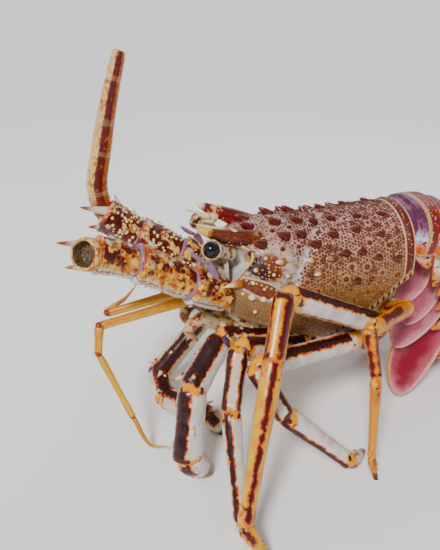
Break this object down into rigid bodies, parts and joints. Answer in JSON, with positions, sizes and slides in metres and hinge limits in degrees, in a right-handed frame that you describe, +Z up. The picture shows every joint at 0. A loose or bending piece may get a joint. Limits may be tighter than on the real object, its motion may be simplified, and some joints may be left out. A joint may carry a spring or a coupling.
{
  "type": "spiny lobster model",
  "caption": "Life-size spiny lobster standing on its walking legs, with forward horns, spiny antennae, a flexed abdomen with leaf-like pleopods and a tail fan.",
  "frame": {"origin": "middle of the model's footprint on the floor", "axes": "+X towards the tail, -Y towards the animal's left side, +Z up"},
  "size_m": [0.3592, 0.333, 0.2706],
  "materials": {
    "carapace_shell": "hard wet-looking shell, pinkish tan with small maroon tubercles and red-brown spines",
    "underside_shell": "smooth pale shell with brown patches",
    "cornea": "glossy black",
    "antenna_shell": "hard cream-yellow and maroon shell with pale spines",
    "whip": "ringed orange, cream and maroon",
    "antennule": "smooth orange and cream",
    "leg_shell": "smooth cream with maroon stripes and orange joints",
    "abdomen_shell": "glossy purple-brown with pale spots and red granules",
    "tail_fan": "ribbed red-brown with a pale edge",
    "pleopod_leaf": "soft pink-red leaf with a cream margin"
  },
  "bodies": {
    "root": {"abdomen_1": "abdomen_shell", "abdomen_2": "abdomen_shell", "abdomen_3": "abdomen_shell", "abdomen_4": "abdomen_shell", "abdomen_5": "abdomen_shell", "abdomen_6": "abdomen_shell", "antenna_left_base": "antenna_shell", "antenna_left_middle": "antenna_shell", "antenna_left_outer": "antenna_shell", "antenna_left_stump": "whip", "antenna_right_base": "antenna_shell", "antenna_right_middle": "antenna_shell", "antenna_right_outer": "antenna_shell", "antenna_right_whip": "whip", "antennule_left_stem": "antennule", "antennule_left_tip": "antennule", "antennule_right_stem": "antennule", "antennule_right_tip": "antennule", "carapace": "carapace_shell", "eye_left": "cornea", "eye_right": "cornea", "face": "underside_shell", "leg_left_1_carpus": "leg_shell", "leg_left_1_hand": "leg_shell", "leg_left_1_upper": "leg_shell", "leg_left_2_lower": "leg_shell", "leg_left_2_upper": "leg_shell", "leg_left_3_lower": "leg_shell", "leg_left_3_upper": "leg_shell", "leg_left_4_lower": "leg_shell", "leg_left_4_upper": "leg_shell", "leg_left_5_lower": "leg_shell", "leg_left_5_upper": "leg_shell", "leg_right_1_carpus": "leg_shell", "leg_right_1_hand": "leg_shell", "leg_right_1_upper": "leg_shell", "leg_right_2_lower": "leg_shell", "leg_right_2_upper": "leg_shell", "leg_right_3_lower": "leg_shell", "leg_right_3_upper": "leg_shell", "leg_right_4_lower": "leg_shell", "leg_right_4_upper": "leg_shell", "leg_right_5_lower": "leg_shell", "leg_right_5_upper": "leg_shell", "maxilliped_left": "underside_shell", "maxilliped_right": "underside_shell", "pleopod_left_2": "pleopod_leaf", "pleopod_left_3": "pleopod_leaf", "pleopod_left_4": "pleopod_leaf", "pleopod_left_5": "pleopod_leaf", "pleopod_right_2": "pleopod_leaf", "pleopod_right_3": "pleopod_leaf", "pleopod_right_4": "pleopod_leaf", "pleopod_right_5": "pleopod_leaf", "sternum": "underside_shell", "telson": "tail_fan", "uropod_left": "tail_fan", "uropod_right": "tail_fan"}
  },
  "joints": []
}
